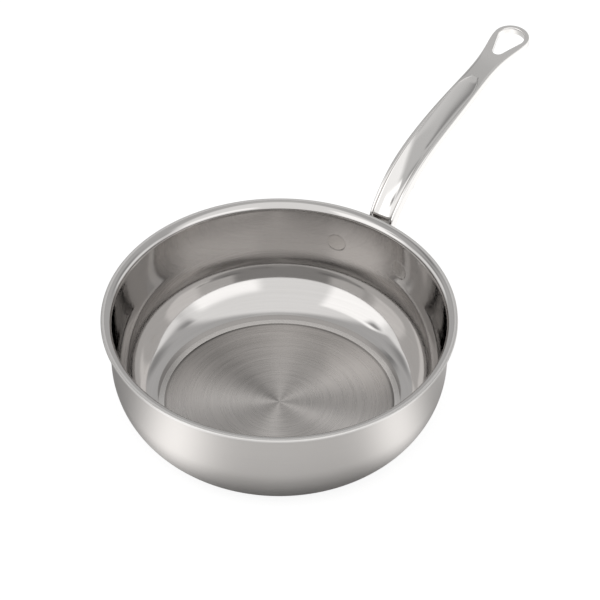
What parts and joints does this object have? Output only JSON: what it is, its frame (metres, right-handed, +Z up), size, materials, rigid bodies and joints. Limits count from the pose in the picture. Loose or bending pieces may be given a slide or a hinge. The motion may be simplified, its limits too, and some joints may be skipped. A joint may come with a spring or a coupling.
{
  "type": "saucier pan",
  "caption": "Round-sided saucier pan of clad stainless steel with a flared pouring rim and a long arched cast handle ending in a hanging loop.",
  "frame": {"origin": "centre of the flat underside of the base, on the axis of the bowl", "axes": "+Z up along the bowl's axis, +X along the handle from the bowl to the hanging loop"},
  "size_m": [0.4518, 0.26, 0.1297],
  "materials": {
    "cooking_steel": "polished walls, finely turned floor",
    "core_aluminium": "bonded between the steel layers",
    "outside_steel": "satin",
    "handle_steel": "polished casting",
    "rivet_steel": "polished"
  },
  "bodies": {
    "root": {"inner_ply": "cooking_steel", "core_ply": "core_aluminium", "outer_ply": "outside_steel", "handle": "handle_steel", "rivet_left": "rivet_steel", "rivet_right": "rivet_steel"}
  },
  "joints": []
}
